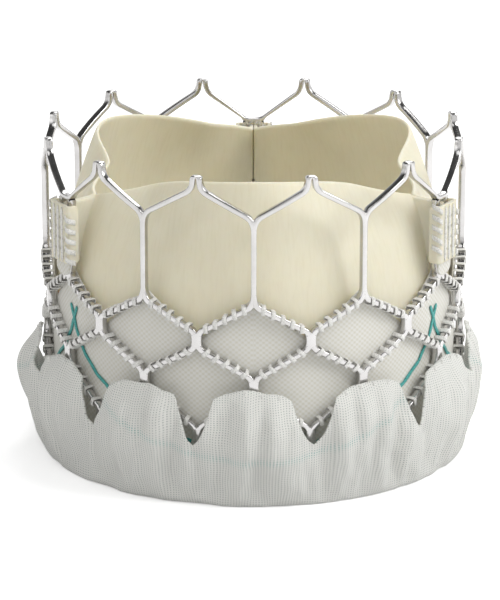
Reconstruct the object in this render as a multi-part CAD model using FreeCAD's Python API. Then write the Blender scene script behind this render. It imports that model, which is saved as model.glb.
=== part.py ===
import FreeCAD
import Part
import math
import os

# Transcatheter heart valve: a laser-cut tubular frame expanded to its working size, with
# three tissue leaflets inside it, an inner and an outer cloth skirt, and the sutures.
# Millimetres. +Z points to the outflow end, the inflow end rests on z = 0, and the
# middle of the front leaflet faces -Y. Angles go round the Z axis from -Y towards +X.

# Frame
frame_radius = 13.0          # outside of the expanded frame
frame_wall = 0.45            # tube wall
frame_foot = 0.30            # lower rim of the frame
frame_top = 20.0             # upper rim of the frame
columns = 12                 # cells in each row
strut_width = 0.30
node_bend_across = 0.22      # how far a strut has moved off its node when it bends
node_bend_along = 0.55       # how far above or below its node a strut bends
tip_bend_across = 0.27       # the same at the free tips of both rims
tip_bend_along = 0.85
tip_overrun = 0.45           # the struts of a tip would meet this far past its flat end
waist_across = 0.12          # blunt side corner of a diamond cell, from the node's middle
waist_along = 0.16

# Heights of the strut crossings, from the inflow end up
low_cross = 4.72             # on the half columns
middle_cross = 7.38          # on the full columns
high_cross = 10.10           # on the half columns
fork = 12.75                 # on the full columns, where each vertical post starts
crown_valley = 17.00         # on the full columns, where each vertical post ends

# Commissure windows, which stand in place of every fourth post
commissures = 3
commissure_angle = 60.0      # the first one, right of the front leaflet
window_leg_offset = 0.52     # middle of each leg from the middle of the window
window_low = 13.02           # middle of the lower bar
window_high = 17.15          # middle of the upper bar

# Inner skirt, woven cloth against the inside of the frame
inner_skirt_gap = 0.15       # room for sutures between the frame and the cloth
inner_skirt_wall = 0.12
inner_skirt_foot = 0.22
skirt_edge_drop = 0.10       # the cloth's upper edge under the middle of the struts

# Leaflets
leaflet_wall = 0.25
leaflet_gap = 0.03           # between the leaflet's margin and the inner skirt
cusp_low = 3.24              # lowest point of the stitched cusp line
cusp_tilt = 10.0             # rise of the cusp line as a slanted cut of the cylinder
cusp_lift = 1.30             # extra rise close to the commissures
cusp_lift_power = 14
cusp_margin = 0.50           # tissue below the stitched line
free_edge_middle = 10.35     # radius of the free edge in the middle of a leaflet
free_edge_waist = 8.75       # smallest radius of the free edge
free_edge_waist_angle = 39.0
free_edge_end = 10.70        # radius of the free edge where the commissure fold starts
free_edge_high = 19.10       # height of the free edge in the middle of a leaflet
free_edge_low = 17.00        # height of the free edge at a commissure
belly_power = 3.6            # how late the leaflet leaves the skirt on its way up
free_edge_sag = 1.6          # how late the free edge comes down towards a commissure
half_span = 59.3             # half the angle of a leaflet between its commissure folds
fold_gap = 0.03              # from the middle plane of the commissure to the fold
fold_low = 13.35             # the folds pass through the windows above this height
fold_high = 16.85
fold_start = 0.56            # share of the leaflet's height where the folds leave it
leaflet_strip_count = 7      # flat facets across half a leaflet
leaflet_row_count = 6        # and from the cusp line to the free edge

# Commissure assembly on the outside of each window
patch_gap = 0.03
patch_wall = 0.12
patch_half_width = 0.85
patch_low = 12.75
tab_gap = 0.02
tab_half_width = 1.15
tab_split = 0.06             # between the two tabs of a commissure
tab_low = 13.30
tab_high = 16.85
tab_return_bore = 12.62      # the tabs fold back past the window's legs as far as this
corner_clip = 0.20

# Cusp strips and sutures
strip_gap = 0.14
strip_wall = 0.12
strip_width = 0.70
strip_rise = 0.10            # upper edge of the strip above the cusp line
strip_segment_count = 6      # flat lengths on each half of a strip
suture_width = 0.18
suture_thickness = 0.08
suture_gap = 0.02
suture_dash = 1.15
suture_pitch = 1.45
cusp_suture_span = 54.0

# Outer skirt, cloth that stands out from the frame round the inflow end
skirt_high = 7.28            # upper edge of the cloth in the middle of each flap
skirt_notch = 3.85           # bottom of the notches between the flaps
notch_power = 4.0            # how squarely each flap's edge turns down into a notch
outer_skirt_wall = 0.16
outer_skirt_gap = 0.06
skirt_swell = 1.00           # how far the cloth stands out in the middle of a flap
notch_swell = 0.80           # and at a notch
swell_skew = 1.3             # how far the widest place lies above the middle
flap_strip_count = 3         # flat facets across half a flap
flap_row_count = 4           # and from the hem to the upper edge
hem_wall = 0.16
hem_bore = 12.26

# Stitches
stitch_width = 0.20
stitch_thickness = 0.09
stitch_clearance = 0.02
stitch_pitch = 0.64
stitch_slant = 12.0
upper_row_count = 4          # stitches on each strut, row by row from the top
middle_row_count = 4
lower_row_count = 2
inflow_row_count = 1
edge_stitch_length = 0.42
edge_stitch_gap = 0.04       # between the straight stitches and the curved cloth
edge_stitch_step = 4.2       # degrees from one to the next
edge_stitch_count = 4        # along the upper edge of each flap
hem_stitch_low = 0.02
hem_stitch_high = 0.52
hem_stitch_slant = 1.2       # degrees from its lower to its upper end
hem_stitch_count = 24
tab_stitch_offset = 0.48     # between the lines of stitching on a pair of tabs
tab_stitch_dash = 0.60
tab_stitch_pitch = 0.85
tab_stitch_count = 4         # in each line
lashing_count = 5            # on each side of a pair of tabs
lashing_width = 0.30
lashing_rise = 0.40

# Worked out from the above
column_step = 360.0 / columns
half_step = column_step / 2
half_pitch = math.radians(half_step) * frame_radius
half_strut = strut_width / 2
frame_bore = frame_radius - frame_wall
inner_skirt_radius = frame_bore - inner_skirt_gap
inner_skirt_bore = inner_skirt_radius - inner_skirt_wall
leaflet_bore = inner_skirt_bore - leaflet_gap - leaflet_wall
commissure_step = 360.0 / commissures
half_sector = commissure_step / 2
leaflet_names = ["front", "rear_right", "rear_left"]
commissure_names = ["right", "rear", "left"]
patch_radius = frame_radius + patch_gap
tab_radius = patch_radius + patch_wall + tab_gap
tab_face = tab_radius + leaflet_wall
skirt_hem_radius = frame_radius + outer_skirt_gap + outer_skirt_wall
strip_bore = leaflet_bore - strip_gap - strip_wall
far_out = 1.5                # cutters run this far past the wall they cut
sewing_reach = 0.001         # facets closer than this are sewn together
outward_y = FreeCAD.Vector(0, -1, 0)


def on_drum(radius, angle, z):
    t = math.radians(angle)
    return FreeCAD.Vector(radius * math.sin(t), -radius * math.cos(t), z)


def turned(shape, angle):
    return shape.rotated(FreeCAD.Vector(0, 0, 0), FreeCAD.Vector(0, 0, 1), angle)


def inset(corners, distance):
    """The closed clockwise outline moved inwards by distance."""
    moved = []
    for i, (u, z) in enumerate(corners):
        before, after = corners[i - 1], corners[(i + 1) % len(corners)]
        a = math.atan2(z - before[1], u - before[0])
        b = math.atan2(after[1] - z, after[0] - u)
        turn = (a + b) / 2
        if abs(a - b) > math.pi:
            turn += math.pi
        reach = abs(distance / math.cos((a - b) / 2))
        moved.append((u + reach * math.sin(turn), z - reach * math.cos(turn)))
    return moved


def radial_prism(corners, angle, inner, outer):
    """Solid with radial side walls: the outline, drawn on the unrolled frame."""
    wires = []
    for distance in (inner, outer):
        points = [
            FreeCAD.Vector(distance * math.tan(u / frame_radius), -distance, z)
            for u, z in corners
        ]
        wires.append(Part.makePolygon(points + points[:1]))
    return turned(Part.makeLoft(wires, True, True), angle)


def window_cutter(corners, angle):
    reach = math.cos(math.radians(half_step))
    return radial_prism(corners, angle, frame_bore * reach - far_out, frame_radius + far_out)


def both_sides(right_half):
    """A whole clockwise outline from its right half, listed from the top down."""
    return right_half + [(-u, z) for u, z in reversed(right_half) if u > 0]


def waist(node_u, node_z, towards):
    """The blunt corner of a cell beside a crossing."""
    return [
        (node_u + towards * waist_across, node_z + waist_along),
        (node_u + towards * waist_across, node_z - waist_along),
    ]


def upper_bend(node_u, node_z, towards):
    """Where a strut that leaves a node downwards bends, towards +1 or -1."""
    return (node_u + towards * node_bend_across, node_z - node_bend_along)


def lower_bend(node_u, node_z, towards):
    return (node_u + towards * node_bend_across, node_z + node_bend_along)


def diamond(top, side, bottom):
    """Cell between four crossings, drawn on the middles of its struts."""
    return both_sides(
        [(0, top), upper_bend(0, top, 1), lower_bend(half_pitch, side, -1)]
        + waist(half_pitch, side, -1)
        + [upper_bend(half_pitch, side, -1), lower_bend(0, bottom, 1), (0, bottom)]
    )


def inflow_cell():
    return both_sides(
        [(0, middle_cross), upper_bend(0, middle_cross, 1), lower_bend(half_pitch, low_cross, -1)]
        + waist(half_pitch, low_cross, -1)
        + [
            upper_bend(half_pitch, low_cross, -1),
            (tip_bend_across, frame_foot + tip_bend_along),
            (0, frame_foot - tip_overrun),
        ]
    )


def post_side(window):
    """Right side of an outflow cell, on a plain post or on a window's leg."""
    if window:
        leg = half_pitch - window_leg_offset
        return [
            (leg, window_high + half_strut),
            (leg, window_low - half_strut),
            upper_bend(half_pitch, fork, -1),
        ]
    return [
        lower_bend(half_pitch, crown_valley, -1),
        (half_pitch, crown_valley),
        (half_pitch, fork),
        upper_bend(half_pitch, fork, -1),
    ]


def outflow_cell(left_window, right_window):
    left = [(-u, z) for u, z in reversed(post_side(left_window))]
    crown = frame_top - tip_bend_along
    base = high_cross + node_bend_along
    return (
        [(0, frame_top + tip_overrun), (tip_bend_across, crown)] + post_side(right_window)
        + [(node_bend_across, base), (0, high_cross), (-node_bend_across, base)]
        + left + [(-tip_bend_across, crown)]
    )


def crown_notch(window):
    """Open space above the frame between two tips of the outflow rim."""
    rim = [
        (half_pitch, frame_top + far_out),
        (half_pitch, frame_top + tip_overrun),
        (half_pitch - tip_bend_across, frame_top - tip_bend_along),
    ]
    if window:
        return both_sides(rim + [(window_leg_offset, window_high)])
    return both_sides(rim + [lower_bend(0, crown_valley, 1), (0, crown_valley)])


def inflow_notch():
    """Open space below the frame between two tips of the inflow rim."""
    return both_sides([
        (0, low_cross),
        upper_bend(0, low_cross, 1),
        (half_pitch - tip_bend_across, frame_foot + tip_bend_along),
        (half_pitch, frame_foot - tip_overrun),
        (half_pitch, frame_foot - far_out),
    ])


def window_slot():
    return both_sides([(window_leg_offset, window_high), (window_leg_offset, window_low)])


def tube(outer, inner, low, high):
    base = FreeCAD.Vector(0, 0, low)
    return Part.makeCylinder(outer, high - low, base).cut(
        Part.makeCylinder(inner, high - low, base)
    )


def is_window(angle):
    return abs((angle - commissure_angle + half_sector) % commissure_step - half_sector) < half_step


def make_frame():
    cutters = []
    for i in range(columns):
        full = i * column_step
        half = full + half_step
        outlines = [
            (diamond(fork, high_cross, middle_cross), full),
            (diamond(high_cross, middle_cross, low_cross), half),
            (inflow_cell(), full),
            (inflow_notch(), half),
            (crown_notch(is_window(full)), full),
            (outflow_cell(is_window(full), is_window(full + column_step)), half),
        ]
        if is_window(full):
            outlines.append((window_slot(), full))
        cutters += [window_cutter(inset(corners, half_strut), at) for corners, at in outlines]
    return tube(frame_radius, frame_bore, frame_foot, frame_top).cut(Part.makeCompound(cutters))


def make_inner_skirt():
    """Tube of cloth whose upper edge follows the top row of diamond cells."""
    high = fork - skirt_edge_drop
    low = high_cross - skirt_edge_drop
    notch = [
        (-half_pitch, high),
        (-half_pitch, high + far_out),
        (half_pitch, high + far_out),
        (half_pitch, high),
        (0, low),
    ]
    reach = math.cos(math.radians(half_step))
    cutters = [
        radial_prism(notch, half_step + i * column_step, inner_skirt_bore * reach - far_out,
                     inner_skirt_radius + far_out)
        for i in range(columns)
    ]
    wall = tube(inner_skirt_radius, inner_skirt_bore, inner_skirt_foot, high)
    return wall.cut(Part.makeCompound(cutters))


def facets(near, far):
    """Flat triangles between two rows of points."""
    made = []
    for a, b, c, d in zip(near, near[1:], far[1:], far):
        made += [Part.Face(Part.makePolygon([a, b, c, a])), Part.Face(Part.makePolygon([a, c, d, a]))]
    return made


def sheet_between(inner, outer, closed=True):
    """Facets of a thin sheet between two grids of points with the same layout."""
    made = []
    for grid in (inner, outer):
        for near, far in zip(grid, grid[1:]):
            made += facets(near, far)
    for end in (0, -1):
        made += facets([row[end] for row in inner], [row[end] for row in outer])
        if closed:
            made += facets(inner[end], outer[end])
    return made


def solid_from(faces):
    shell = Part.makeShell(faces)
    shell.sewShape(sewing_reach)
    solid = Part.makeSolid(Part.Shell(shell.Faces))
    if solid.Volume < 0:
        solid.reverse()
    return solid


def cusp_height(angle):
    t = math.radians(angle)
    lift = cusp_lift * (abs(angle) / half_span) ** cusp_lift_power
    return cusp_low + cusp_tilt * (1 - math.cos(t)) + lift


def free_edge_radius(angle):
    """Smooth dip from the middle of the leaflet to its waist, then out to the fold."""
    a = abs(angle)
    if a < free_edge_waist_angle:
        t = a / free_edge_waist_angle
        start = free_edge_middle
    else:
        t = (half_span - a) / (half_span - free_edge_waist_angle)
        start = free_edge_end
    return start + (free_edge_waist - start) * t * t * (3 - 2 * t)


def free_edge_height(angle):
    t = abs(angle) / half_span
    return free_edge_high - (free_edge_high - free_edge_low) * t ** free_edge_sag


def leaflet_point(angle, rise, outwards):
    low = cusp_height(angle) - cusp_margin
    high = free_edge_height(angle)
    base = leaflet_bore + outwards
    edge = free_edge_radius(angle) + outwards
    radius = base + (edge - base) * rise ** belly_power
    return on_drum(radius, angle, low + (high - low) * rise)


def leaflet_grid(outwards):
    """Grid whose columns lie closer together towards the commissures."""
    count = leaflet_strip_count
    angles = [half_span * math.sin(math.pi / 2 * i / count) for i in range(-count, count + 1)]
    rises = [j / leaflet_row_count for j in range(leaflet_row_count + 1)]
    return [[leaflet_point(a, rise, outwards) for rise in rises] for a in angles]


def leaflet_fold(side):
    """Flat panel that carries the leaflet's edge out through the commissure window."""
    crease = [leaflet_point(half_span, rise, 0) for rise in (fold_start, (fold_start + 1) / 2, 1)]
    corners = [FreeCAD.Vector(0, -math.hypot(p.x, p.y), p.z) for p in crease]
    corners += [
        FreeCAD.Vector(0, -leaflet_bore, fold_high),
        FreeCAD.Vector(0, -frame_radius, fold_high),
        FreeCAD.Vector(0, -frame_radius, fold_low),
    ]
    outline = Part.Face(Part.makePolygon(corners + corners[:1]))
    panel = outline.extrude(FreeCAD.Vector(-side * leaflet_wall, 0, 0))
    panel.translate(FreeCAD.Vector(-side * fold_gap, 0, 0))
    return turned(panel, side * half_sector)


def make_leaflet():
    belly = solid_from(sheet_between(leaflet_grid(0), leaflet_grid(leaflet_wall)))
    return belly.fuse([leaflet_fold(1), leaflet_fold(-1)])


def make_cusp_strip():
    def grid(radius):
        count = strip_segment_count
        angles = [cusp_suture_span * i / count for i in range(-count, count + 1)]
        heights = [strip_rise, strip_rise - strip_width]
        return [[on_drum(radius, a, cusp_height(a) + h) for h in heights] for a in angles]
    return solid_from(sheet_between(grid(strip_bore), grid(strip_bore + strip_wall)))


def plate(left, right, low, high, face, thickness):
    """Flat plate with clipped corners, its back on the plane y = -face."""
    c = corner_clip
    points = [
        FreeCAD.Vector(u, -face, z)
        for u, z in (
            (left + c, low), (right - c, low), (right, low + c), (right, high - c),
            (right - c, high), (left + c, high), (left, high - c), (left, low + c),
        )
    ]
    outline = Part.Face(Part.makePolygon(points + points[:1]))
    return outline.extrude(FreeCAD.Vector(0, -thickness, 0))


def make_patch():
    return plate(-patch_half_width, patch_half_width, patch_low, tab_high, patch_radius, patch_wall)


def make_tabs():
    """Two tabs that lie side by side on the patch and fold back beside the window's legs."""
    near = tab_split / 2
    fold_height = tab_high - tab_low - 2 * corner_clip
    tabs = []
    for left, right, fold_left in (
        (-tab_half_width, -near, -tab_half_width),
        (near, tab_half_width, tab_half_width - leaflet_wall),
    ):
        face = plate(left, right, tab_low, tab_high, tab_radius, leaflet_wall)
        corner = FreeCAD.Vector(fold_left, -tab_radius, tab_low + corner_clip)
        fold = Part.makeBox(leaflet_wall, tab_radius - tab_return_bore, fold_height, corner)
        tabs.append(face.fuse(fold).removeSplitter())
    return Part.makeCompound(tabs)


def stitch(start, end, outwards, width, thickness):
    """Straight ridge of thread that lies on a surface from start to end."""
    along = (end - start).normalize()
    out = (outwards - along * outwards.dot(along)).normalize()
    half = along.cross(out) * (width / 2)
    section = Part.makePolygon([start - half, start + half, start + out * thickness, start - half])
    return Part.Face(section).extrude(end - start)


def outward(point):
    return FreeCAD.Vector(point.x, point.y, 0).normalize()


def make_cusp_suture():
    """Running stitches along the cusp line, on the outside of the inner skirt."""
    def on_line(angle):
        return on_drum(inner_skirt_radius + suture_gap, angle, cusp_height(angle))
    stitches = []
    angle = -cusp_suture_span
    while angle < cusp_suture_span:
        start = on_line(angle)
        per_degree = (on_line(angle + 1) - start).Length
        end = on_line(angle + suture_dash / per_degree)
        stitches.append(stitch(start, end, outward(start), suture_width, suture_thickness))
        angle += suture_pitch / per_degree
    return Part.makeCompound(stitches)


def make_tab_suture():
    """Three lines of running stitches on the face of a pair of tabs."""
    middle = (tab_low + tab_high) / 2
    face = -tab_face - suture_gap
    stitches = []
    for line in (-1, 0, 1):
        for i in range(tab_stitch_count):
            z = middle + (i - (tab_stitch_count - 1) / 2) * tab_stitch_pitch
            start = FreeCAD.Vector(line * tab_stitch_offset, face, z - tab_stitch_dash / 2)
            end = start + FreeCAD.Vector(0, 0, tab_stitch_dash)
            stitches.append(stitch(start, end, outward_y, suture_width, suture_thickness))
    return Part.makeCompound(stitches)


def make_lashing():
    """Slanted stitches over both long edges of a pair of tabs."""
    low = tab_low + corner_clip
    span = tab_high - corner_clip - lashing_rise - low
    face = -tab_face - suture_gap
    stitches = []
    for side in (-1, 1):
        for i in range(lashing_count):
            z = low + span * i / (lashing_count - 1)
            start = FreeCAD.Vector(side * (tab_half_width - lashing_width), face, z + lashing_rise)
            end = FreeCAD.Vector(side * tab_half_width, face, z)
            stitches.append(stitch(start, end, outward_y, suture_width, suture_thickness))
    return Part.makeCompound(stitches)


def strut_stitches(low, high, count, falling):
    """Stitches across every strut of a row; low and high are its bends as (u, z)."""
    slope = math.degrees(math.atan2(abs(high[0] - low[0]), high[1] - low[1]))
    middle_u = (low[0] + high[0]) / 2
    middle_z = (low[1] + high[1]) / 2
    reach = half_strut + stitch_thickness
    face = -frame_radius - stitch_clearance
    ends = [FreeCAD.Vector(u, face, 0) for u in (-reach, reach)]
    one = stitch(*ends, outward_y, stitch_width, stitch_thickness)
    stitches = []
    for i in range(columns):
        for side in (-1, 1):
            lean = side * slope * falling
            for k in range(count):
                step = (k - (count - 1) / 2) * stitch_pitch
                t = math.radians(lean)
                u = side * middle_u + step * math.sin(t)
                z = middle_z + step * math.cos(t)
                made = one.copy()
                made.rotate(FreeCAD.Vector(0, 0, 0), FreeCAD.Vector(0, 1, 0), lean + stitch_slant * side)
                made.translate(FreeCAD.Vector(0, 0, z))
                angle = i * column_step + math.degrees(u / frame_radius)
                stitches.append(turned(made, angle))
    return Part.makeCompound(stitches)


def skirt_edge_height(angle):
    t = abs(angle) / half_step
    return skirt_notch + (skirt_high - skirt_notch) * (1 - t ** notch_power)


def skirt_point(angle, rise, outwards):
    """Point of the outer skirt within half a flap, rise going from hem to upper edge."""
    t = (1 - math.cos(math.pi * angle / half_step)) / 2
    swell = skirt_swell + (notch_swell - skirt_swell) * t
    z = skirt_edge_height(angle) * rise
    radius = skirt_hem_radius + outwards + swell * math.sin(math.pi * (z / skirt_high) ** swell_skew)
    return on_drum(radius, angle, z)


def make_outer_skirt():
    def grid(outwards):
        angles = [half_step * i / flap_strip_count for i in range(flap_strip_count + 1)]
        rises = [j / flap_row_count for j in range(flap_row_count + 1)]
        return [[skirt_point(a, rise, outwards) for rise in rises] for a in angles]
    half_flap = sheet_between(grid(-outer_skirt_wall), grid(0), closed=False)
    mirrored = [f.mirror(FreeCAD.Vector(0, 0, 0), FreeCAD.Vector(1, 0, 0)) for f in half_flap]
    faces = [turned(f, i * column_step) for i in range(columns) for f in half_flap + mirrored]
    return solid_from(faces)


def make_hem():
    """Folded edge of the cloth under the inflow end of the frame."""
    return tube(frame_radius, hem_bore, 0, hem_wall)


def make_edge_suture():
    """Short stitches over the upper edge of each flap of the outer skirt."""
    stitches = []
    for k in range(edge_stitch_count):
        angle = (k - (edge_stitch_count - 1) / 2) * edge_stitch_step
        start = 1 - edge_stitch_length / skirt_edge_height(angle)
        low = skirt_point(angle, start, edge_stitch_gap)
        high = skirt_point(angle, 1, edge_stitch_gap)
        made = stitch(low, high, outward(low), suture_width, suture_thickness)
        stitches += [turned(made, i * column_step) for i in range(columns)]
    return Part.makeCompound(stitches)


def make_hem_suture():
    """Stitches that close the hem against the inner skirt, on the lumen side."""
    radius = hem_bore - suture_gap - suture_thickness
    stitches = []
    for i in range(hem_stitch_count):
        angle = (i + 0.5) * 360.0 / hem_stitch_count
        start = on_drum(radius, angle, hem_stitch_low)
        end = on_drum(radius, angle + hem_stitch_slant, hem_stitch_high)
        stitches.append(stitch(start, end, outward(start), suture_width, suture_thickness))
    return Part.makeCompound(stitches)


high_row = ((half_pitch - node_bend_across, high_cross + node_bend_along),
            (node_bend_across, fork - node_bend_along))
middle_row = ((node_bend_across, middle_cross + node_bend_along),
              (half_pitch - node_bend_across, high_cross - node_bend_along))
low_row = ((half_pitch - node_bend_across, low_cross + node_bend_along),
           (node_bend_across, middle_cross - node_bend_along))
foot_row = ((tip_bend_across, frame_foot + tip_bend_along),
            (half_pitch - node_bend_across, low_cross - node_bend_along))

parts = {
    "stent_frame": make_frame(),
    "inner_skirt": make_inner_skirt(),
    "outer_skirt": make_outer_skirt(),
    "inflow_hem": make_hem(),
    "upper_row_stitches": strut_stitches(*high_row, upper_row_count, -1),
    "middle_row_stitches": strut_stitches(*middle_row, middle_row_count, 1),
    "lower_row_stitches": strut_stitches(*low_row, lower_row_count, -1),
    "inflow_row_stitches": strut_stitches(*foot_row, inflow_row_count, 1),
    "skirt_edge_stitches": make_edge_suture(),
    "hem_stitches": make_hem_suture(),
}
each_leaflet = {
    "leaflet": make_leaflet(),
    "cusp_strip": make_cusp_strip(),
    "cusp_suture": make_cusp_suture(),
}
each_commissure = {
    "commissure_patch": make_patch(),
    "commissure_tabs": make_tabs(),
    "tab_suture": make_tab_suture(),
    "tab_lashing": make_lashing(),
}
for i in range(commissures):
    for name, shape in each_leaflet.items():
        parts[name + "_" + leaflet_names[i]] = turned(shape, i * commissure_step)
    for name, shape in each_commissure.items():
        at = commissure_angle + i * commissure_step
        parts[name + "_" + commissure_names[i]] = turned(shape, at)

os.makedirs("parts", exist_ok=True)
for name, shape in parts.items():
    shape.exportStep(os.path.join("parts", name + ".step"))
    print(name, len(shape.Solids), "solids", round(shape.Volume, 2), "mm3", shape.isValid())
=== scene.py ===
from functools import partial
from math import atan2, ceil, copysign, cos, degrees, exp, floor, pi, radians, sin, sqrt

import bmesh
import bpy
from mathutils import Matrix, Vector, noise


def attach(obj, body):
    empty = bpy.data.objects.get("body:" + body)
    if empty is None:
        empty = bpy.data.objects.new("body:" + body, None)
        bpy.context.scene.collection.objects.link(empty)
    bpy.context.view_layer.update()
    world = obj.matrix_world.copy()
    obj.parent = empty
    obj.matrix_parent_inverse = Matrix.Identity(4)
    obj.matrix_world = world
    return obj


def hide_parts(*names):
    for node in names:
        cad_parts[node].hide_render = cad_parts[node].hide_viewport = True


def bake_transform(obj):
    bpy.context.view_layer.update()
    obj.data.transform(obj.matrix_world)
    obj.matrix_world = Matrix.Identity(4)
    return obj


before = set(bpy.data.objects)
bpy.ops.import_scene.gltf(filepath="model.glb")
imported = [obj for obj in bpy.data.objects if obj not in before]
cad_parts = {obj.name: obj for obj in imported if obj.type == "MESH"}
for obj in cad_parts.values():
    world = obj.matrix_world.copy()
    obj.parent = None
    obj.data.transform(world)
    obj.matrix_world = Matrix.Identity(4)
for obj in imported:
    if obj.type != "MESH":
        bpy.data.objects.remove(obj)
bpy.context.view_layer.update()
mm = 0.001
print("stage: frame loaded with", len(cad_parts), "nodes")


# Small helpers

# a dictionary of sizes, in mm and degrees, whose entries are also read as attributes
class Sizes(dict):
    __getattr__ = dict.__getitem__


# sRGB hex text to a linear colour
def linearColour(hexText):
    values = [int(hexText[i:i + 2], 16) / 255 for i in (1, 3, 5)]
    return tuple(v / 12.92 if v <= 0.04045 else ((v + 0.055) / 1.055) ** 2.4 for v in values) + (1.0,)


# a kind without "Node" in its name is a shader node; as an input, a node stands for its own first
# output, and hex text for its colour; each tree's own "add" is this function with the tree given
def addNode(tree, kind, inputs=None, **settings):
    made = tree.nodes.new(kind if "Node" in kind else "ShaderNode" + kind)
    for name, value in settings.items():
        setattr(made, name, value)
    for name, value in (inputs or {}).items():
        if isinstance(value, bpy.types.Node):
            value = value.outputs[0]
        elif isinstance(value, str) and value[0] == "#":
            value = linearColour(value)
        if isinstance(value, bpy.types.NodeSocket):
            tree.links.new(value, made.inputs[name])
        else:
            made.inputs[name].default_value = value
    return made


# point in metres from a radius and height in mm and an angle in degrees from -Y towards +X
def onDrum(radius, angle, z):
    turn = radians(angle)
    return Vector((radius * sin(turn), -radius * cos(turn), z)) * mm


def smoothStep(x):
    x = min(1.0, max(0.0, x))
    return x * x * (3 - 2 * x)


def placed(name, data):
    made = bpy.data.objects.new(name, data)
    bpy.context.collection.objects.link(made)
    return made


def newObject(name, points, faces):
    mesh = bpy.data.meshes.new(name)
    mesh.from_pydata([tuple(p) for p in points], [], faces)
    mesh.validate()
    mesh.shade_smooth()
    return placed(name, mesh)


# one (u, v) in metres for each vertex
def setUv(made, coordinates):
    layer = made.data.uv_layers.new(name="cloth")
    for loop in made.data.loops:
        layer.data[loop.index].uv = coordinates[loop.vertex_index]


# a sheet from spot(i, j), which gives a point and its place on the flat cloth, in metres
def gridSheet(name, columns, rows, spot):
    spots = [spot(i, j) for i in range(columns) for j in range(rows)]
    made = newObject(name, [point for point, flat in spots], gridFaces(columns, rows))
    setUv(made, [flat for point, flat in spots])
    return made


def gridFaces(columns, rows, closed=False):
    faces = []
    for i in range(columns if closed else columns - 1):
        a, b = i * rows, (i + 1) % columns * rows
        faces += [(a + j, b + j, b + j + 1, a + j + 1) for j in range(rows - 1)]
    return faces


def cleaned(made, distance, recalculate=True):
    shape = bmesh.new()
    shape.from_mesh(made.data)
    bmesh.ops.remove_doubles(shape, verts=shape.verts, dist=distance)
    bmesh.ops.dissolve_degenerate(shape, edges=shape.edges, dist=distance / 4)
    if recalculate:
        bmesh.ops.recalc_face_normals(shape, faces=shape.faces)
    shape.to_mesh(made.data)
    shape.free()
    made.data.shade_smooth()


# the object's modifiers applied to its mesh
def baked(made):
    graph = bpy.context.evaluated_depsgraph_get()
    mesh = bpy.data.meshes.new_from_object(made.evaluated_get(graph), depsgraph=graph)
    made.modifiers.clear()
    made.data = mesh
    return made


# gives a sheet its wall; offset -1 puts the wall behind the sheet's front
def thickened(made, wall, offset, rounds=1):
    solid = made.modifiers.new("wall", "SOLIDIFY")
    solid.thickness = wall * mm
    solid.offset = offset
    solid.use_even_offset = True
    if rounds:
        soft = made.modifiers.new("soft", "SUBSURF")
        soft.levels = soft.render_levels = rounds
    return baked(made)


def joined(name, pieces):
    shape = bmesh.new()
    for piece in pieces:
        shape.from_mesh(piece.data)
        bpy.data.objects.remove(piece)
    mesh = bpy.data.meshes.new(name)
    shape.to_mesh(mesh)
    shape.free()
    mesh.shade_smooth()
    return placed(name, mesh)


def finishPiece(made, slot, *nodes, still=True):
    made.data.materials.clear()
    made.data.materials.append(materials[slot])
    if still:
        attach(made, "root")
    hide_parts(*nodes)
    return made


# Materials

def newMaterial(name):
    material = bpy.data.materials.new(name)
    material.use_nodes = True
    material.node_tree.nodes.clear()
    add = partial(addNode, material.node_tree)
    return material, add, add("TexCoord").outputs["Object"]


def electropolishedMetal():
    # cobalt-chromium tube, laser cut and electropolished: bright, with faintly uneven gloss
    sizes = Sizes(grain=0.12, cloud=0.9, tint="#D6D5D5", shade="#BAB8B6", rough=0.16)
    material, add, place = newMaterial("electropolishedCobaltChromium")
    cloud = add("TexNoise", {"Vector": place, "Scale": 1 / (sizes.cloud * mm), "Detail": 3.0})
    grain = add("TexNoise", {"Vector": place, "Scale": 1 / (sizes.grain * mm), "Detail": 2.0})
    colour = add("Mix", {0: cloud, 6: sizes.shade, 7: sizes.tint}, data_type="RGBA")
    rough = add("MapRange", {"Value": cloud, "To Min": sizes.rough - 0.05, "To Max": sizes.rough + 0.12})
    bump = add("Bump", {"Height": grain, "Strength": 0.12, "Distance": 0.01 * mm})
    shader = add("BsdfPrincipled", {"Base Color": colour.outputs[2], "Metallic": 1.0, "Roughness": rough,
        "Normal": bump})
    add("OutputMaterial", {0: shader})
    return material


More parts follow.
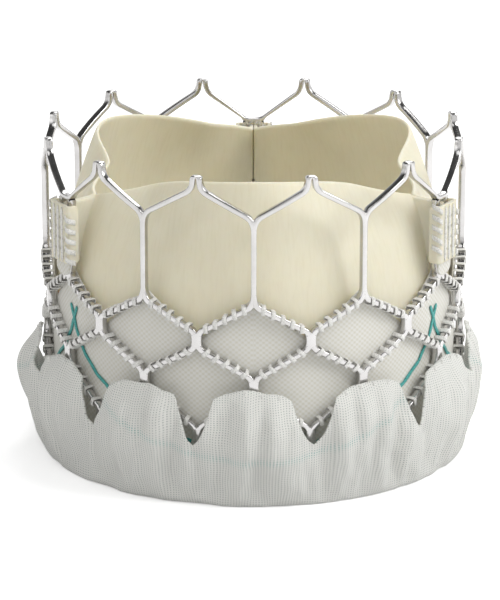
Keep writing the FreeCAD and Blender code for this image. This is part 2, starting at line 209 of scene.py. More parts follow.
# cloth whose threads follow the piece's own UV map, in metres
def clothMaterial(name, sizes):
    material, add, place = newMaterial(name)
    uv = add("TexCoord").outputs["UV"]
    drift = add("TexNoise", {"Vector": place, "Scale": 1 / (2.2 * mm), "Detail": 2.0})
    sway = add("VectorMath", {0: drift.outputs["Color"], 3: sizes.sway * mm}, operation="SCALE")
    swayed = add("VectorMath", {0: uv, 1: sway}, operation="ADD")
    split = add("SeparateXYZ", {0: swayed})
    waves = []
    for axis, pitch in ((0, sizes.warp), (1, sizes.weft)):
        phase = add("Math", {0: split.outputs[axis], 1: 2 * pi / (pitch * mm)}, operation="MULTIPLY")
        waves.append(add("Math", {0: phase}, operation="SINE"))
    cross = add("Math", {0: waves[0], 1: waves[1]}, operation="MULTIPLY")
    ridge = add("Math", {0: waves[0], 1: waves[1]}, operation="MAXIMUM")
    height = add("Mix", {0: sizes.knit, 2: cross, 3: ridge}, data_type="FLOAT")
    lift = add("MapRange", {"Value": height, "From Min": -1.0, "From Max": 1.0})
    cloud = add("TexNoise", {"Vector": place, "Scale": 1 / (sizes.cloud * mm), "Detail": 4.0})
    thread = add("MapRange", {"Value": lift, "From Min": 0.15, "From Max": 0.75})
    # teal sutures under the cloth show in its gaps
    under = add("Attribute", attribute_name="under")
    gap = add("Mix", {0: under.outputs["Fac"], 6: sizes.gap, 7: "#5FA39F"}, data_type="RGBA")
    base = add("Mix", {0: thread, 6: gap.outputs[2], 7: sizes.thread}, data_type="RGBA")
    patch = add("MapRange", {"Value": cloud, "From Min": 0.35, "From Max": 0.7, "To Max": sizes.soil})
    colour = add("Mix", {0: patch, 6: base.outputs[2], 7: sizes.dull}, data_type="RGBA").outputs[2]
    bump = add("Bump", {"Height": lift, "Strength": sizes.relief, "Distance": 0.04 * mm})
    cloth = add("BsdfPrincipled", {"Base Color": colour, "Roughness": 0.85, "Normal": bump,
        "Sheen Weight": 0.2, "Sheen Roughness": 0.5, "Specular IOR Level": 0.25})
    glow = add("BsdfTranslucent", {"Color": colour, "Normal": bump})
    last = add("MixShader", {0: sizes.glow, 1: cloth, 2: glow})
    if sizes.open:
        hole = add("MapRange", {"Value": lift, "From Min": sizes.open + 0.1, "From Max": sizes.open - 0.1,
            "To Max": 0.9})
        clear = add("BsdfTransparent")
        last = add("MixShader", {0: hole, 1: last, 2: clear})
    add("OutputMaterial", {0: last})
    return material


def pericardium():
    # fixed pericardium: thin moist tissue, cream, with faint fibres along the leaflet, and painted shade in
    # its needle holes
    sizes = Sizes(base="#E9E3CE", light="#F2EEDC", shade="#D8D0B4", fibre=0.22, cloud=2.6, hole="#4E483A",
        glow=0.25)
    material, add, place = newMaterial("fixedPericardium")
    uv = add("TexCoord").outputs["UV"]
    cloud = add("TexNoise", {"Vector": place, "Scale": 1 / (sizes.cloud * mm), "Detail": 5.0,
        "Roughness": 0.55})
    along = add("Mapping", {"Vector": uv, "Scale": (1.0, 0.16, 1.0)})
    fibres = add("TexNoise", {"Vector": along, "Detail": 4.0, "Distortion": 0.4,
        "Scale": 1 / (sizes.fibre * mm)})
    pale = add("Mix", {0: cloud, 6: sizes.base, 7: sizes.light}, data_type="RGBA")
    streak = add("MapRange", {"Value": fibres, "From Min": 0.45, "From Max": 0.75, "To Max": 0.20})
    fresh = add("Mix", {0: streak, 6: pale.outputs[2], 7: sizes.shade}, data_type="RGBA")
    # painted shade: where the needle holes are, the colour goes towards the dark hole colour, standing in for
    # the shade inside them
    needle = add("Attribute", attribute_name="pierced")
    colour = add("Mix", {0: needle.outputs["Fac"], 6: fresh.outputs[2], 7: sizes.hole},
        data_type="RGBA").outputs[2]
    bump = add("Bump", {"Height": fibres, "Strength": 0.12, "Distance": 0.03 * mm})
    rough = add("MapRange", {"Value": fibres, "To Min": 0.40, "To Max": 0.60})
    shader = add("BsdfPrincipled", {"Base Color": colour, "Roughness": rough, "Normal": bump,
        "Subsurface Weight": 0.3, "Subsurface Scale": 0.5 * mm, "Subsurface Radius": (1.0, 0.75, 0.45),
        "Specular IOR Level": 0.4})
    glow = add("BsdfTranslucent", {"Color": colour, "Normal": bump})
    thin = add("MixShader", {0: sizes.glow, 1: shader, 2: glow})
    add("OutputMaterial", {0: thin})
    return material


def braidedSuture(name, thread, gap):
    # braided polyester suture: soft sheen, with fine strands
    sizes = Sizes(strand=0.08)
    material, add, place = newMaterial(name)
    braid = add("TexVoronoi", {"Vector": place, "Scale": 1 / (sizes.strand * mm)})
    edge = add("MapRange", {"Value": braid, "From Min": 0.35, "From Max": 0.9})
    colour = add("Mix", {0: edge, 6: thread, 7: gap}, data_type="RGBA")
    bump = add("Bump", {"Height": braid, "Strength": -0.3, "Distance": 0.02 * mm})
    shader = add("BsdfPrincipled", {"Base Color": colour.outputs[2], "Roughness": 0.6, "Normal": bump,
        "Sheen Weight": 0.2, "Specular IOR Level": 0.35})
    add("OutputMaterial", {0: shader})
    return material


materials = {"frame_metal": electropolishedMetal(), "tissue": pericardium()}
# plain woven polyester, drawn a little coarser than its 0.08 mm threads so that it shows
materials["woven_cloth"] = clothMaterial("wovenPolyester",
    Sizes(warp=0.36, weft=0.31, knit=0.0, thread="#E6E5E0", gap="#D8D5C8", dull="#D6D5CD", soil=0.25,
    cloud=1.8, relief=0.10, glow=0.10, open=0.0, sway=0.10))
# knitted polyester: an open mesh of fine loops that lets some light and colour through
materials["knitted_cloth"] = clothMaterial("knittedPolyester",
    Sizes(warp=0.165, weft=0.145, knit=1.0, thread="#F3F3EF", gap="#C9CBC8", dull="#E0E0DC", soil=0.30,
    cloud=2.8, relief=0.25, glow=0.34, open=0.06, sway=0.35))
materials["white_suture"] = braidedSuture("whiteBraidedSuture", "#E4E3DF", "#C4C3BF")
materials["teal_suture"] = braidedSuture("tealBraidedSuture", "#4CA39D", "#33807B")
print("stage: materials")


# Camera, light and floor

viewSizes = Sizes(
    target=(-0.22, 0.0, 8.8),    # mm
    distance=205.615,
    elevation=16.849,
    focal=3319.3,                # in pixels of the 500 x 600 frame
    frameHeight=600,
    sensor=36.0,
)


def makeCamera():
    sizes = viewSizes
    camera = bpy.data.cameras.new("camera")
    camera.sensor_width = sizes.sensor
    camera.lens = sizes.sensor * sizes.focal / sizes.frameHeight
    camera.clip_start = 0.001
    made = placed("camera", camera)
    tilt = radians(sizes.elevation)
    away = Vector((0, -cos(tilt), sin(tilt))) * sizes.distance
    made.location = (Vector(sizes.target) + away) * mm
    made.rotation_euler = (pi / 2 - tilt, 0, 0)
    bpy.context.scene.camera = made


def makeLamp(name, place, size, power):
    lamp = bpy.data.lights.new(name, "AREA")
    lamp.shape = "DISK"
    lamp.size = size * mm
    lamp.energy = power
    made = placed(name, lamp)
    made.location = Vector(place) * mm
    made.rotation_euler = (Vector((0, 0, 8)) * mm - made.location).to_track_quat("-Z", "Y").to_euler()


# white to the camera; a reflection sees a bright horizon and a dark ceiling, as in a photo tent
def makeWorld():
    sizes = Sizes(soft=0.475, ceiling=0.05, darkFrom=0.22, darkTo=0.60)
    world = bpy.data.worlds.new("studio")
    bpy.context.scene.world = world
    world.use_nodes = True
    world.node_tree.nodes.clear()
    add = partial(addNode, world.node_tree)
    ray = add("LightPath")
    split = add("SeparateXYZ", {0: add("TexCoord").outputs["Generated"]})
    tent = add("MapRange", {"Value": split.outputs[2], "From Min": sizes.darkFrom, "From Max": sizes.darkTo,
        "To Min": 1.0, "To Max": sizes.ceiling})
    glossy = add("Mix", {0: ray.outputs["Is Glossy Ray"], 2: sizes.soft, 3: tent}, data_type="FLOAT")
    clear = add("Math", {0: ray.outputs["Is Camera Ray"], 1: ray.outputs["Is Transmission Ray"]},
        operation="MAXIMUM")
    strength = add("Mix", {0: clear, 2: glossy, 3: 1.0}, data_type="FLOAT")
    back = add("Background", {"Color": "#FFFFFF", "Strength": strength})
    add("OutputWorld", {0: back})


def makeFloor():
    half = 3000
    corners = [(-half, -half), (half, -half), (half, half), (-half, half)]
    ground = newObject("floor", [Vector((x, y, 0)) * mm for x, y in corners], [(0, 1, 2, 3)])
    material, add = newMaterial("paleStudioFloor")[:2]
    ray = add("LightPath")
    paint = add("BsdfDiffuse", {"Color": "#EDEDED"})
    seen = add("Math", {0: ray.outputs["Is Camera Ray"], 1: ray.outputs["Is Glossy Ray"]},
        operation="MAXIMUM")
    lift = add("MapRange", {"Value": seen, "To Max": 0.40})
    glow = add("Emission", {"Strength": lift})
    both = add("AddShader", {0: paint, 1: glow})
    add("OutputMaterial", {0: both})
    ground.data.materials.append(material)


makeCamera()
makeWorld()
makeFloor()
makeLamp("keyRight", (150, -60, 130), 120, 0.230)
makeLamp("fillLeft", (-140, -120, 90), 140, 0.035)
makeLamp("frontTop", (-20, -110, 190), 140, 0.070)
makeLamp("backTop", (30, 140, 150), 120, 0.190)
bpy.context.scene.view_settings.view_transform = "Standard"
print("stage: camera, light and floor")


# Metal frame

frameSizes = Sizes(
    radius=13.0, wall=0.45, foot=0.30, top=20.0, columns=12, strut=0.32, edge=0.07,
    bendAcross=0.22, bendAlong=0.55, tipAcross=0.27, tipAlong=0.85, overrun=0.45,
    waistAcross=0.13, waistAlong=0.20, waistHalf=0.3, capHalf=0.34,
    softBend=1.0, softNotch=0.13, softCap=0.16, softWaist=0.3, softSeat=0.25, softLeg=0.4,
    low=4.25, middle=7.38, high=10.10, fork=12.75, valley=17.00,
    windowLeg=0.52, windowLow=13.02, windowHigh=17.15,
    stagger=0.12,    # between the cuts on the two sides of a strut
)
halfStep = 180 / frameSizes.columns
halfPitch = radians(halfStep) * frameSizes.radius


# an open path moved to its left by distance, with mitred corners
def offsetPath(corners, distance):
    moved, normals = [], []
    for a, b in zip(corners, corners[1:]):
        along = (b - a).normalized()
        normals.append(Vector((-along.y, along.x)))
    for i, corner in enumerate(corners):
        before, after = normals[max(0, i - 1)], normals[min(i, len(normals) - 1)]
        middle = (before + after).normalized()
        moved.append(corner + middle * distance / max(0.35, middle.dot(after)))
    return moved


# the path with its inner corners rounded; each rounding reaches up to its radius in mm
def softened(corners, radii, steps=7):
    points = [corners[0]]
    for i in range(1, len(corners) - 1):
        here = corners[i]
        before, after = corners[i - 1] - here, corners[i + 1] - here
        reach = min(radii[i], before.length * 0.49, after.length * 0.49)
        start, end = here + before.normalized() * reach, here + after.normalized() * reach
        for k in range(steps + 1):
            t = k / steps
            points.append(start * (1 - t) ** 2 + here * 2 * t * (1 - t) + end * t * t)
    points.append(corners[-1])
    return points


# one side of a cell's outline, between two places where it meets its mirror line
def halfOutline(corners, distance, mirror, radii):
    before, after = (Vector((2 * mirror - corners[i].x, corners[i].y)) for i in (1, -2))
    notch = frameSizes.softNotch
    kept = softened(offsetPath([before] + corners + [after], distance), [0, notch] + radii + [notch, 0])[1:-1]

    def meets(i, step):
        return abs(kept[i].x - mirror) < 1e-6 or (kept[i + step].x - mirror) * (kept[i].x - mirror) <= 0

    first = next(i for i in range(len(kept)) if meets(i, 1))
    last = max(i for i in range(len(kept)) if meets(i, -1))
    kept = kept[first:last + 1]
    kept[0], kept[-1] = (Vector((mirror, kept[i].y)) for i in (0, -1))
    return kept


def resampled(points, count):
    lengths = [0.0]
    for a, b in zip(points, points[1:]):
        lengths.append(lengths[-1] + (b - a).length)
    result = []
    for k in range(count):
        want = lengths[-1] * k / (count - 1)
        i = max(1, next((i for i, s in enumerate(lengths) if s >= want - 1e-9), len(lengths) - 1))
        t = (want - lengths[i - 1]) / max(1e-9, lengths[i] - lengths[i - 1])
        result.append(points[i - 1].lerp(points[i], t))
    return result


# stretches of a falling path between given heights; the ends stay
def cutAt(points, heights):
    stretches, rest = [], points
    for z in heights:
        i = next(i for i, p in enumerate(rest) if p.y <= z)
        a, b = rest[i - 1], rest[i]
        cut = a.lerp(b, (a.y - z) / max(1e-9, a.y - b.y))
        stretches.append(rest[:i] + [cut])
        rest = [cut] + rest[i:]
    stretches.append(rest)
    return stretches


# outlines of half of one column, left and right, going down; u runs from 0 to halfPitch
def frameHalfColumn(window):
    s = frameSizes
    names = ("top", "valley", "fork", "high", "middle", "low", "foot")
    top, valley, fork, high, middle, low, foot = (s[name] for name in names)
    wide, half, bend = halfPitch, s.strut / 2, s.softBend

    def at(u, z):
        return Vector((u, z))

    def under(u, z, side):
        return at(u + side * s.bendAcross, z - s.bendAlong)

    def over(u, z, side):
        return at(u + side * s.bendAcross, z + s.bendAlong)

    # from one crossing on line u, round the next one on the other line, to a third on line u
    def diamond(u, side, first, second, third):
        other = wide - u
        waist = [at(other - side * s.waistAcross, second + k * s.waistAlong) for k in (1, -1)]
        start = [at(u, first), under(u, first, side), over(other, second, -side)]
        return start + waist + [under(other, second, -side), over(u, third, side), at(u, third)]

    diamondRadii = [bend, bend, s.softWaist, s.softWaist, bend, bend]
    tip = at(s.tipAcross, foot + s.tipAlong)
    crown = at(wide - s.tipAcross, top - s.tipAlong)
    if window:
        leg = s.windowLeg
        seat, seatRadius = [at(leg, s.windowHigh), at(0, s.windowHigh)], s.softSeat
        post = [at(leg, s.windowHigh + half), at(leg, s.windowLow - half)]
        outflowRadii = [bend, s.softWaist, s.softLeg, s.softLeg, bend]
    else:
        seat, seatRadius = [over(0, valley, 1), at(0, valley)], bend
        post = seat + [at(0, fork)]
        outflowRadii = [bend] * 6
    rim = offsetPath([at(wide - s.capHalf + half, top + half), crown] + seat, -half)
    rim = [at(wide, top), at(wide - s.capHalf, top)] + rim[1:] + [at(-rim[-2].x, rim[-2].y)]
    rim = softened(rim, [0, s.softCap, bend, seatRadius, s.softNotch, 0])
    last = max(i for i, p in enumerate(rim) if p.x >= 0)
    inflowCell = diamond(0, 1, middle, low, foot)[:-2] + [tip, at(0, foot - s.overrun)]
    # the metal lies to the right of these
    left = [rim[:last + 1] + [at(0, rim[last].y)],
        halfOutline(diamond(0, 1, fork, high, middle), -half, 0, diamondRadii),
        halfOutline(inflowCell, -half, 0, diamondRadii)]
    outflow = [at(wide, top + s.overrun), crown] + post + [under(0, fork, 1), over(wide, high, -1),
        at(wide, high)]
    end = offsetPath([at(wide, low), under(wide, low, -1), tip, at(s.tipAcross - 0.02, foot + 0.2),
        at(s.tipAcross - 0.06, foot - half)], half)
    end = [at(2 * wide - end[1].x, end[1].y)] + end[:-2] + [at(s.capHalf, foot), at(0, foot)]
    end = softened(end, [0, s.softNotch, bend, bend, s.softCap, 0])
    first = next(i for i, p in enumerate(end) if p.x <= wide)
    # and to the left of these
    right = [halfOutline(outflow, half, wide, outflowRadii),
        halfOutline(diamond(wide, -1, high, middle, low), half, wide, diamondRadii),
        [at(wide, end[first].y)] + end[first:]]
    return left, right


# matching stretches of the left and right outlines, each with its number of stations
def framePairs(window):
    s = frameSizes
    left, right = frameHalfColumn(window)
    fork, high, middle, low = (s[name] for name in ("fork", "high", "middle", "low"))
    crown = (s.top - s.tipAlong + s.valley + s.bendAlong) / 2
    end = (low - s.bendAlong + s.foot + s.tipAlong) / 2
    lift, waist = s.stagger, s.waistHalf
    a = cutAt(left[0], [crown + lift])
    b = cutAt(left[1], [(fork + high) / 2 - lift, high + waist, high - waist, (high + middle) / 2 + lift])
    c = cutAt(left[2], [(middle + low) / 2 - lift, low + waist, low - waist, end + lift])
    d = cutAt(right[0], [crown - lift, s.valley - 0.1, fork + 0.25, (fork + high) / 2 + lift])
    e = cutAt(right[1], [(high + middle) / 2 - lift, middle + waist, middle - waist,
        (middle + low) / 2 + lift])
    f = cutAt(right[2], [end - lift])
    topLine, middleLine = ([left[i][-1], left[i + 1][0]] for i in (0, 1))
    highLine, lowLine = ([right[i][-1], right[i + 1][0]] for i in (0, 1))
    pairs = [(a[0], d[0], 22), (a[1], d[1], 20), (topLine, d[2], 14), (b[0], d[3], 18), (b[1], d[4], 16),
        (b[2], highLine, 4), (b[3], e[0], 16), (b[4], e[1], 16), (middleLine, e[2], 4), (c[0], e[3], 16),
        (c[1], e[4], 16), (c[2], lowLine, 4), (c[3], f[0], 18), (c[4], f[1], 22)]
    if window:
        half = s.strut / 2
        slot, slotHigh, slotLow = s.windowLeg - half, s.windowHigh - half, s.windowLow + half
        under = d[0][-1:] + [p for p in d[1] if p.y > s.windowHigh]
        under += [Vector((slot, slotHigh)), Vector((0, slotHigh))]
        inner = [Vector((slot, s.windowHigh)), Vector((slot, slotLow))]
        outer = [p for p in d[1] if p.y <= s.windowHigh] + d[2][1:]
        bar = [Vector((slot, slotLow)), Vector((0, slotLow)), left[1][0]]
        pairs[1:3] = [(a[1], under, 20), (inner, outer, 14),
            (bar, [outer[-1], outer[-1] + Vector((0, -0.01))], 4)]
    return pairs


# solid half column between its outlines, with the free edges rounded, as (u, z, depth) points
def ribbonMesh(pairs):
    s = frameSizes
    stations = []
    breaks = []
    for leftPath, rightPath, count in pairs:
        breaks.append(len(stations))
        stations += list(zip(resampled(leftPath, count), resampled(rightPath, count)))

    def onLine(p):
        return p.x < 1e-5 or p.x > halfPitch - 1e-5

    def inward(side, i):
        path = [st[side] for st in stations]
        a, b = path[max(0, i - 1)], path[min(len(path) - 1, i + 1)]
        if (b - a).length < 1e-9:
            return Vector((0, 0))
        along = (b - a).normalized()
        if onLine(path[i]):
            along = Vector((copysign(1, along.x) if abs(along.x) > 1e-6 else 0, 0))
            if along.length == 0:
                return Vector((0, 0))
        normal = Vector((along.y, -along.x))
        return normal if (stations[i][1 - side] - path[i]).dot(normal) > 0 else -normal

    def straightOnLine(side, i):
        return all(onLine(stations[k][side]) for k in (max(0, i - 1), i, min(len(stations) - 1, i + 1)))

    points, faces = [], []
    for i, (a, b) in enumerate(stations):
        ring = []
        for side, p in ((0, a), (1, b)):
            normal = inward(side, i)
            flat = straightOnLine(side, i)
            edge = 0.0 if flat else min(s.edge, (a - b).length * 0.4)
            profile = [(1.0, 0.0), (0.3, 0.3), (0.0, 1.0)]
            half = [(p + normal * edge * x, edge * y) for x, y in profile]
            ring.append([(q, d) for q, d in half] + [(q, s.wall - d) for q, d in reversed(half)])
        points += [(q.x, q.y, d) for q, d in ring[0]] + [(q.x, q.y, d) for q, d in reversed(ring[1])]
    size = 12
    for i in range(len(stations) - 1):
        if i + 1 in breaks:
            continue
        for k in range(size):
            a, b = i * size + k, i * size + (k + 1) % size
            quad = (a, b, b + size, a + size)
            us = [points[q][0] for q in quad]
            if max(us) < 1e-5 or min(us) > halfPitch - 1e-5:
                continue
            faces.append(quad)
    return points, faces


# a geometry tree and its inputs, which are given by name and kind
def newTree(name, sockets):
    tree = bpy.data.node_groups.new(name, "GeometryNodeTree")
    for socket, kind in sockets.items():
        tree.interface.new_socket(socket, in_out="INPUT", socket_type="NodeSocket" + kind)
    tree.interface.new_socket("Geometry", in_out="OUTPUT", socket_type="NodeSocketGeometry")
    add = partial(addNode, tree)
    return tree, add, add("NodeGroupInput").outputs


# copies of a mesh turned round the Z axis, joined where they meet
def repeatTree():
    tree, add, enter = newTree("repeatRoundAxis", {"Geometry": "Geometry", "Count": "Int", "Step": "Float",
        "First Turn": "Float", "Merge": "Float", "Material": "Material"})
    spots = add("GeometryNodePoints", {"Count": enter["Count"]})
    index = add("GeometryNodeInputIndex")
    turn = add("Math", {0: index, 1: enter["Step"], 2: enter["First Turn"]}, operation="MULTIPLY_ADD")
    spin = add("CombineXYZ", {"Z": turn})
    rotation = add("FunctionNodeEulerToRotation", {0: spin})
    copies = add("GeometryNodeInstanceOnPoints", {"Points": spots, "Instance": enter["Geometry"],
        "Rotation": rotation})
    real = add("GeometryNodeRealizeInstances", {0: copies})
    merged = add("GeometryNodeMergeByDistance", {"Geometry": real, "Distance": enter["Merge"]})
    coated = add("GeometryNodeSetMaterial", {"Geometry": merged, "Material": enter["Material"]})
    add("NodeGroupOutput", {0: coated})
    return tree


# stitches set on points; each point's own turn is an attribute, and a little is added at random
def stitchTree():
    tree, add, enter = newTree("placeStitches", {"Geometry": "Geometry", "Stitch": "Object", "Sway": "Float",
        "Seed": "Int", "Material": "Material"})
    one = add("GeometryNodeObjectInfo", {"Object": enter["Stitch"]})
    own = add("GeometryNodeInputNamedAttribute", {"Name": "turn"}, data_type="FLOAT_VECTOR")
    centred = add("FunctionNodeRandomValue", {0: (-1, -1, -1), 1: (1, 1, 1), "Seed": enter["Seed"]},
        data_type="FLOAT_VECTOR")
    sway = add("VectorMath", {0: centred, 3: enter["Sway"]}, operation="SCALE")
    turn = add("VectorMath", {0: own, 1: sway}, operation="ADD")
    rotation = add("FunctionNodeEulerToRotation", {0: turn})
    spots = add("GeometryNodeMeshToPoints", {0: enter["Geometry"]})
    copies = add("GeometryNodeInstanceOnPoints", {"Points": spots, "Rotation": rotation,
        "Instance": one.outputs["Geometry"]})
    real = add("GeometryNodeRealizeInstances", {0: copies})
    coated = add("GeometryNodeSetMaterial", {"Geometry": real, "Material": enter["Material"]})
    add("NodeGroupOutput", {0: coated})
    return tree


# the tree's result as the object's own mesh
def runTree(made, tree, values):
    modifier = made.modifiers.new("build", "NODES")
    modifier.node_group = tree
    for item in tree.interface.items_tree:
        if item.in_out == "INPUT" and item.name in values:
            modifier[item.identifier] = values[item.name]
    return baked(made)


repeatRound = repeatTree()
placeStitches = stitchTree()


def frameColumn(name, window):
    points, faces = ribbonMesh(framePairs(window))
    s = frameSizes
    both = [onDrum(s.radius - depth, side * degrees(u / s.radius), z) for side in (1, -1) for u, z,
        depth in points]
    made = newObject(name, both, faces + [tuple(len(points) + k for k in reversed(f)) for f in faces])
    cleaned(made, 0.004 * mm)
    return made


def makeFrame():
    s = frameSizes
    step = 360 / s.columns
    values = {"Merge": 0.004 * mm, "Material": materials["frame_metal"], "Count": 3, "Step": radians(120)}
    made = []
    for first in range(4):
        column = frameColumn("column", first == 0)
        made.append(runTree(column, repeatRound, dict(values, **{"First Turn": radians(60 + first * step)})))
    whole = joined("stentFrame", made)
    cleaned(whole, 0.004 * mm)
    return finishPiece(whole, "frame_metal", "stent_frame")


stentFrame = makeFrame()
print("stage: metal frame,", len(stentFrame.data.polygons), "faces")


# Leaflets

leafletSizes = Sizes(wall=0.25, bore=12.0, halfSpan=59.88, cuspLow=3.24, cuspTilt=10.0, cuspLift=1.30,
    liftPower=14, margin=0.50, edgeMiddle=10.35, edgeWaist=8.75, waistAt=39.0, edgeEnd=10.70, edgeHigh=19.10,
    edgeLow=17.00, edgeSag=1.6, bellyPower=3.6, foldGap=0.015, foldStart=0.54, foldLow=13.35, foldHigh=16.85,
    foldReach=12.98, columns=72, rows=44, foldColumns=9, bendFrom=25.2, bendTo=33.6, bendOut=1.3,
    creaseFrom=56, creaseLow=13, creaseRounds=4)
leafletNames = ["front", "rear_right", "rear_left"]
commissureNames = ["right", "rear", "left"]


def cuspHeight(angle):
    s = leafletSizes
    lift = s.cuspLift * (abs(angle) / s.halfSpan) ** s.liftPower
    return s.cuspLow + s.cuspTilt * (1 - cos(radians(angle))) + lift


# radius and height on the leaflet's inner face, rise going from its cusp line to its free edge
def leafletSection(angle, rise):
    s = leafletSizes
    a = abs(angle)
    if a < s.waistAt:
        edge = s.edgeMiddle + (s.edgeWaist - s.edgeMiddle) * smoothStep(a / s.waistAt)
    else:
        t = (s.halfSpan - a) / (s.halfSpan - s.waistAt)
        edge = s.edgeEnd + (s.edgeWaist - s.edgeEnd) * smoothStep(t)
    low = cuspHeight(angle) - s.margin
    high = s.edgeHigh - (s.edgeHigh - s.edgeLow) * (a / s.halfSpan) ** s.edgeSag
    return s.bore + (edge - s.bore) * rise ** s.bellyPower, low + (high - low) * rise


def leafletSheet(name):
    s = leafletSizes
    rows = s.rows + 1
    points, flat = [], []
    for i in range(s.columns + 1):
        angle = s.halfSpan * (2 * i / s.columns - 1)
        for j in range(rows):
            radius, z = leafletSection(angle, j / s.rows)
            points.append(onDrum(radius, angle, z))
            flat.append((radians(angle) * s.bore * mm, z * mm))
    faces = gridFaces(s.columns + 1, rows)
    first = ceil(s.foldStart * s.rows)
    # the folds go on from the grid's end columns, out through the commissure windows
    for side in (-1, 1):
        before = [(s.columns if side > 0 else 0) * rows + j for j in range(first, rows)]
        for k in range(1, s.foldColumns + 1):
            share = k / s.foldColumns
            here = []
            for j in range(first, rows):
                radius, z = leafletSection(s.halfSpan, j / s.rows)
                t = (j - first) / (rows - 1 - first)
                endZ = s.foldLow + (s.foldHigh - s.foldLow) * t
                out = radius + (s.foldReach - radius) * share
                gap = s.foldGap + (radius * radians(60 - s.halfSpan) - s.foldGap) * (1 - share) ** 3
                height = z + (endZ - z) * smoothStep(share)
                here.append(len(points))
                points.append(onDrum(out, side * (60 - degrees(gap / out)), height))
                flat.append((side * (radians(60) * s.bore + out - radius) * mm, height * mm))
            for j in range(len(here) - 1):
                quad = (before[j], here[j], here[j + 1], before[j + 1])
                faces.append(quad if side > 0 else tuple(reversed(quad)))
            before = here
    made = newObject(name, points, faces)
    setUv(made, flat)
    # the crease where a fold starts is a soft bend
    shape = bmesh.new()
    shape.from_mesh(made.data)
    for _ in range(s.creaseRounds):
        crease = [v for v in shape.verts if not v.is_boundary and v.co.z > s.creaseLow * mm
            and abs(degrees(atan2(v.co.x, -v.co.y))) > s.creaseFrom]
        bmesh.ops.smooth_vert(shape, verts=crease, factor=0.5, use_axis_x=True, use_axis_y=True,
            use_axis_z=False)
    shape.to_mesh(made.data)
    shape.free()
    return made


def makeLeaflet(index):
    s = leafletSizes
    body = "leaflet_" + leafletNames[index]
    made = leafletSheet("leafletSheet" + str(index))
    thickened(made, s.wall, 1)
    made.name = "tissueLeaflet" + str(index + 1)
    turn = Matrix.Rotation(radians(120 * index), 4, "Z")
    made.data.transform(turn)
    made.data.shade_smooth()
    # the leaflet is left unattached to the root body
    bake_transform(made)
    return finishPiece(made, "tissue", body, still=False)


leaflets = [makeLeaflet(i) for i in range(3)]
print("stage: leaflets,", len(leaflets[0].data.polygons), "faces each")


# Inner skirt

innerSkirtSizes = Sizes(radius=12.40, wall=0.12, foot=0.22, drop=0.10, columns=360, rows=26)


def innerSkirtEdge(angle):
    t = abs((angle + halfStep) % (2 * halfStep) - halfStep) / halfStep
    high = frameSizes.fork - innerSkirtSizes.drop
    return high + (frameSizes.high - innerSkirtSizes.drop - high) * t


def makeInnerSkirt():
    s = innerSkirtSizes

    def spot(i, j):
        angle = 360 * i / s.columns
        z = s.foot + (innerSkirtEdge(angle) - s.foot) * j / s.rows
        return onDrum(s.radius, angle, z), (radians(angle) * s.radius * mm, z * mm)

    made = gridSheet("innerSkirt", s.columns + 1, s.rows + 1, spot)
    cleaned(made, 0.001 * mm, False)
    thickened(made, s.wall, -1, 0)
    finishPiece(made, "woven_cloth", "inner_skirt")
    return made


innerSkirt = makeInnerSkirt()
print("stage: inner skirt")


# Outer skirt with its hem

outerSkirtSizes = Sizes(
    radius=13.22, wall=0.13, swell=1.12, notchSwell=0.55, swellSkew=1.3,
    high=7.28, notch=3.95, sag=1.3, flat=0.66, fall=2.3, lean=0.22,
    depths=(1, 1, 0.35, 1, 0.9, 1, 1, 0.85, 1, 0.35, 1, 1),    # of the notches, from the one at 15 degrees
    hemInside=12.12, hemRise=0.62, hemRows=12, hemLift=0.5,
    columns=600, rows=44,
    foldDepth=0.55, foldSize=0.95, creaseDepth=0.14, creaseSize=0.42, ragged=0.16,
    flatRadius=13.6, gatherRadius=14.0, length=10.2, underSpread=1.06, underDrop=0.2, showThrough=0.17,
)


# height of the upper edge: a shallow arch across a flap, then down into a notch between two flaps
def skirtEdgeHeight(angle):
    s = outerSkirtSizes
    across = (angle + halfStep) % 30 / halfStep - 1
    lean = s.lean * noise.noise(Vector((floor((angle + halfStep) / 30) % 12 * 3.7, 1.3, 5.1)))
    t = min(1.0, abs(across + lean * (1 - across * across)))
    fall = s.depths[int(angle // 30) % 12] * (1 - min(1.0, (1 - t) / (1 - s.flat)) ** s.fall)
    ragged = noise.noise(onDrum(1, angle, 0) / mm * 11) * s.ragged * (1 - t ** 6)
    return s.high - s.sag * t * t - (s.high - s.sag - s.notch) * fall + ragged


# radius of the cloth's outside, with its folds
def skirtRadius(angle, z):
    s = outerSkirtSizes
    t = (1 - cos(pi * ((angle + halfStep) % 30 / halfStep - 1))) / 2
    swell = s.swell + (s.notchSwell - s.swell) * t
    radius = s.radius + swell * sin(pi * min(1.0, z / s.high) ** s.swellSkew)
    spot = onDrum(13, angle, 0) / mm
    big = noise.noise(Vector((spot.x, spot.y, z * 0.16)) / s.foldSize)
    small = noise.noise(Vector((spot.x + 40, spot.y, z * 0.3)) / s.creaseSize)
    mask = smoothStep((z + 0.2) / 1.4) * (1 - 0.75 * smoothStep((z - 5.2) / 1.8))
    return max(radius + (big * s.foldDepth + small * s.creaseDepth) * mask, s.radius)


